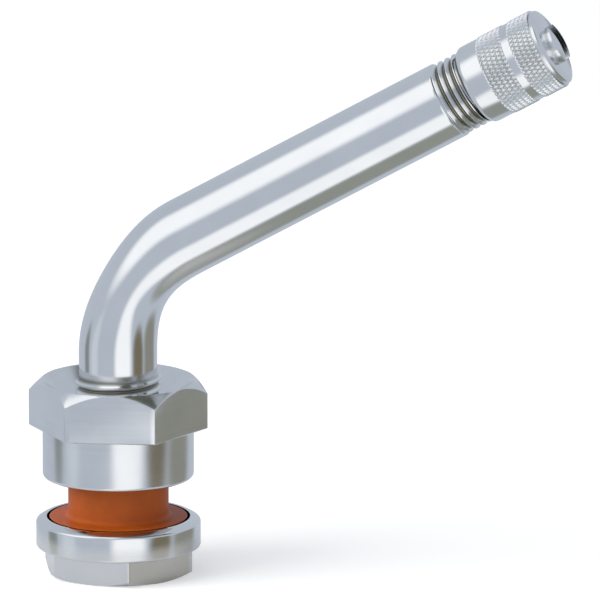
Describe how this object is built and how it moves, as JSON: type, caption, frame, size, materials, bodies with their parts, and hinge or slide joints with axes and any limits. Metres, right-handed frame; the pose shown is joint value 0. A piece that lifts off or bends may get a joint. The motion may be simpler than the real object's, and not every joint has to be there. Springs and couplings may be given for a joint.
{
  "type": "tyre valve",
  "caption": "Bent metal clamp-in tyre valve for a truck wheel, with hexagon foot, sealing grommet, skirted nut, knurled screw cap and sprung core.",
  "frame": {"origin": "middle of the grommet's face that seals on the inside of the rim, on the base axis", "axes": "+Z along the base of the stem, out of the rim; +X the way the tip leans"},
  "size_m": [0.0557, 0.0168, 0.0599],
  "materials": {
    "plated_stem": "polished",
    "plated_nut": "polished",
    "plated_cap": "satin",
    "orange_silicone": "satin",
    "black_rubber": "matte",
    "red_seal": "satin",
    "core_brass": "satin",
    "spring_steel": "satin"
  },
  "bodies": {
    "stem": {"stem": "plated_stem", "rim_grommet": "orange_silicone", "core_plug": "core_brass", "core_barrel": "core_brass", "barrel_seal": "red_seal", "core_spring": "spring_steel"},
    "nut": {"clamp_nut": "plated_nut"},
    "cap_washer": {"cap_seal": "black_rubber"},
    "cap": {"valve_cap": "plated_cap"},
    "pin": {"core_pin": "core_brass", "core_cup": "core_brass", "cup_seal": "black_rubber"}
  },
  "joints": [
    {"name": "nut_run", "type": "slide", "parent": "stem", "child": "nut", "axis": [0, 0, 1], "range_m": [0, 0.007]},
    {"name": "cap_lift", "type": "slide", "parent": "stem", "child": "cap_washer", "axis": [0.8704, 0, 0.4924], "range_m": [0, 0.007]},
    {"name": "cap_turn", "type": "hinge", "parent": "cap_washer", "child": "cap", "pos_m": [0, 0, 0.02525], "axis": [0.8704, 0, 0.4924], "range_deg": [0, 3240]},
    {"name": "pin_press", "type": "slide", "parent": "stem", "child": "pin", "axis": [-0.8704, 0, -0.4924], "range_m": [0, 0.0011], "stiffness_N_per_m": 1000, "deforming": ["core_spring"]}
  ],
  "couplings": [
    {"joint": "cap_turn", "follows": "cap_lift", "rad_per_m": 7915.8}
  ]
}
